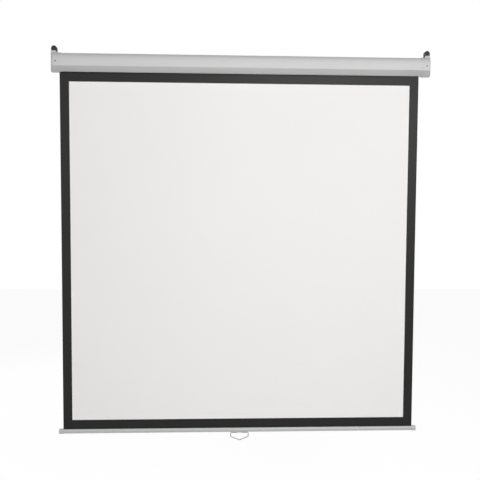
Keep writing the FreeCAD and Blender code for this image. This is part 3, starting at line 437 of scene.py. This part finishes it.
def makeFabric():
    low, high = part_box("screen_fabric")
    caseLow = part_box("case_shell")[0][2]
    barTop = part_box("bottom_bar")[1][2]
    middle, depth = (low[0] + high[0]) / 2, (low[1] + high[1]) / 2
    half = clothSet["view"] / 2
    viewTop = caseLow - clothSet["topBorder"]
    viewLow = viewTop - clothSet["view"]
    border, view = clothSet["borderSteps"], clothSet["viewSteps"]
    columns = (spread(low[0], middle - half, border) + spread(middle - half, middle + half, view)
               + spread(middle + half, high[0], border) + [high[0]])
    upper = (spread(high[2], caseLow, clothSet["hiddenSteps"]) + spread(caseLow, viewTop, border)
             + spread(viewTop, viewLow, view) + [viewLow])
    lower = spread(viewLow, barTop, border) + spread(barTop, low[2], clothSet["hemSteps"]) + [low[2]]

    def shift(x, z):  # curled free edges and a slight ripple, none at the slot and the bar
        free = min(max((caseLow - z) / (caseLow - viewLow), 0.0), 1.0)
        side = abs(x - middle) / (high[0] - middle)
        sway = clothSet["sway"] * math.sin(clothSet["swayWave"] * z)
        wave = (math.sin(clothSet["broadWave"] * (x - middle) + sway)
                + clothSet["fineShare"] * math.sin(clothSet["fineWave"] * x + clothSet["slant"] * z))
        curl = clothSet["edgeCurl"] * side ** clothSet["curlPower"]
        return depth + math.sin(math.pi * free) * (curl + clothSet["ripple"] * wave)

    def isView(x, z):
        return abs(x - middle) < half and viewLow < z < viewTop

    thick = high[1] - low[1]
    foot, footSize = layCloth("fabricFoot", columns, lower, shift, thick, isView)
    sheet, sheetSize = layCloth("screenFabric", columns, upper, shift, thick, isView)
    travel = [joint for joint in frame["joints"] if joint["name"] == "screen_drop"][0]["range_m"][1]
    1 - travel / sheetSize[1]
    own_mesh(sheet)


makeFabric()

# the turns of fabric that stay on the roller
turnsSet = {"turns": 1.5, "pitch": 0.00095, "thick": 0.00045, "steps": 54}


def makeFabricTurns():
    low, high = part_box("fabric_wrap")
    tubeLow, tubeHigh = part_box("roller_tube")
    centreY, centreZ = (tubeLow[1] + tubeHigh[1]) / 2, (tubeLow[2] + tubeHigh[2]) / 2
    steps, halfThick = turnsSet["steps"], turnsSet["thick"] / 2
    outer = high[1] - centreY - halfThick
    turned = [turnsSet["turns"] * step / steps for step in range(steps + 1)]
    radii = [outer - turnsSet["pitch"] * turn for turn in turned]
    length = 2 * math.pi * turnsSet["turns"] / steps * sum(radii[:-1])
    points, faces = [], []
    for offset in (halfThick, -halfThick):
        for x in (low[0], high[0]):
            for turn, radius in zip(turned, radii):
                angle, reach = 2 * math.pi * turn, radius + offset
                points.append((x, centreY + reach * math.cos(angle), centreZ + reach * math.sin(angle)))
    line = steps + 1
    for step in range(steps):
        for start, stop in ((0, line), (3 * line, 2 * line), (line, 3 * line), (2 * line, 0)):
            faces.append((start + step, stop + step, stop + step + 1, start + step + 1))
    for step in (0, steps):
        ends = [step, line + step, 3 * line + step, 2 * line + step]
        faces.append(ends if step else ends[::-1])
    mesh = bpy.data.meshes.new("fabricTurns")
    mesh.from_pydata(points, [], faces)
    mesh.materials.append(borderCloth)

    def flatSpot(vertex):
        return mesh.vertices[vertex].co.x - low[0], length * (vertex % line) / steps

    mapFlat(mesh, flatSpot)
    smoothed(mesh, creaseSet["cloth"])
    piece = addPiece("fabricTurns", mesh, "roller", "fabric_wrap")
    print("fabric on the roller:", round(length, 4), "m")


makeFabricTurns()


class Repeat(Graph):  # one geometry tree that sets the same fitting at every point
    def __init__(self, name, **sizes):
        tree = bpy.data.node_groups.new(name, "GeometryNodeTree")
        for way in ("INPUT", "OUTPUT"):
            tree.interface.new_socket("Geometry", in_out=way, socket_type="NodeSocketGeometry")
        for key in sizes:
            tree.interface.new_socket(key, in_out="INPUT", socket_type="NodeSocketFloat")
        super().__init__(tree)
        self.sizes = sizes
        self.entry = tree.nodes.new("NodeGroupInput")

    def size(self, key):
        return Value(self, self.entry.outputs[key])

    def vector(self, x, y, z):
        return self.node("ShaderNodeCombineXYZ", {}, {0: x, 1: y, 2: z})

    def moved(self, shape, up=0.0, scale=(1, 1, 1)):
        return self.node("GeometryNodeTransform", {}, {
            "Geometry": shape, "Translation": self.vector(0.0, 0.0, up), "Scale": scale})

    def cone(self, low, high, start, depth, sides=32):
        shape = self.node("GeometryNodeMeshCone", {}, {
            "Vertices": sides, "Radius Bottom": low, "Radius Top": high, "Depth": depth})
        return self.moved(shape, start)

    def block(self, x, y, z):
        return self.node("GeometryNodeMeshCube", {}, {"Size": self.vector(x, y, z)})

    def cut(self, operation, shape, *tools):
        made = self.tree.nodes.new("GeometryNodeMeshBoolean")
        made.operation = operation
        made.solver = "EXACT"
        if operation == "DIFFERENCE":
            self.feed(made.inputs["Mesh 1"], shape)
        else:
            tools = (shape,) + tools
        for tool in tools:
            self.feed(made.inputs["Mesh 2"], tool)
        return Value(self, made.outputs["Mesh"])

    def onPoints(self, shape, turn, material, spots):
        placed = self.node("GeometryNodeInstanceOnPoints", {}, {
            "Points": self.size("Geometry"), "Instance": shape, "Rotation": turn})
        whole = self.node("GeometryNodeRealizeInstances", {}, {"Geometry": placed})
        painted = self.node("GeometryNodeSetMaterial", {}, {"Geometry": whole, "Material": material})
        self.feed(self.tree.nodes.new("NodeGroupOutput").inputs["Geometry"], painted)
        points = bpy.data.meshes.new(self.tree.name + "Points")
        points.from_pydata(spots, [], [])
        carrier = addObject(self.tree.name + "Points", points)
        modifier = carrier.modifiers.new(self.tree.name, "NODES")
        modifier.node_group = self.tree
        for item in self.tree.interface.items_tree:
            if item.in_out == "INPUT" and item.name in self.sizes:
                modifier[item.identifier] = self.sizes[item.name]
        graph = bpy.context.evaluated_depsgraph_get()
        mesh = bpy.data.meshes.new_from_object(carrier.evaluated_get(graph), depsgraph=graph)
        bpy.data.objects.remove(carrier)
        smoothed(mesh, creaseSet["fitting"])
        return mesh


# cap screws with cross recesses
screwSet = {"head": 0.007, "shank": 0.004, "recess": 0.0044, "slot": 0.0009, "deep": 0.0015}


def makeCapScrews():
    low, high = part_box("end_cap_screws")
    tree = Repeat("capScrews", length=high[1] - low[1], **screwSet)
    radius, stem = tree.size("head") * 0.5, tree.size("shank") * 0.5
    taper = radius - stem
    top = tree.cone(stem, radius, 0.0 - taper, taper)
    thread = tree.cone(stem, stem, 0.0 - tree.size("length"), tree.size("length") - taper * 0.5)
    whole = tree.cut("UNION", top, thread)
    crossing = [tree.block(tree.size(wide), tree.size(tall), tree.size("deep") * 2.0)
                for wide, tall in (("recess", "slot"), ("slot", "recess"))]
    whole = tree.cut("DIFFERENCE", whole, *crossing)
    height, inset = (low[2] + high[2]) / 2, screwSet["head"] / 2
    spots = [(x, low[1], height) for x in (low[0] + inset, high[0] - inset)]
    mesh = tree.onPoints(whole, (math.pi / 2, 0, 0), finishes["screw_steel"], spots)
    addPiece("capScrews", mesh, "case", "end_cap_screws")
    print("cap screws:", len(mesh.polygons), "faces")


makeCapScrews()

# domed rivets of the handle clips, two in each clip
rivetSet = {"head": 0.0036, "shank": 0.0024, "dome": 0.001}


def makeClipRivets():
    low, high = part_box("clip_rivets")
    tree = Repeat("clipRivets", reach=high[2] - low[2] - rivetSet["dome"], **rivetSet)
    ball = tree.node("GeometryNodeMeshUVSphere", {}, {"Segments": 24, "Rings": 16, "Radius": 1.0})
    half, wide = tree.size("head") * 0.5, tree.size("head") * 2.0
    dome = tree.moved(ball, scale=tree.vector(half, half, tree.size("dome")))
    above = tree.moved(tree.block(wide, wide, tree.size("head")), half)
    dome = tree.cut("DIFFERENCE", dome, above)
    stem, sunk = tree.size("shank") * 0.5, tree.size("dome") * 0.4
    shank = tree.cone(stem, stem, 0.0 - sunk, tree.size("reach") + sunk, sides=20)
    whole = tree.cut("UNION", dome, shank)
    depth, foot, inset = (low[1] + high[1]) / 2, low[2] + rivetSet["dome"], rivetSet["head"] / 2
    spots = []
    for clip, outermost in (("left_handle_clip", low[0] + inset), ("right_handle_clip", high[0] - inset)):
        clipLow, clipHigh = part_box(clip)
        spots += [(x, depth, foot) for x in (outermost, clipLow[0] + clipHigh[0] - outermost)]
    mesh = tree.onPoints(whole, (0, 0, 0), finishes["screw_steel"], spots)
    addPiece("clipRivets", mesh, "drop", "clip_rivets")
    print("clip rivets:", len(mesh.polygons), "faces on", len(spots), "rivets")


makeClipRivets()
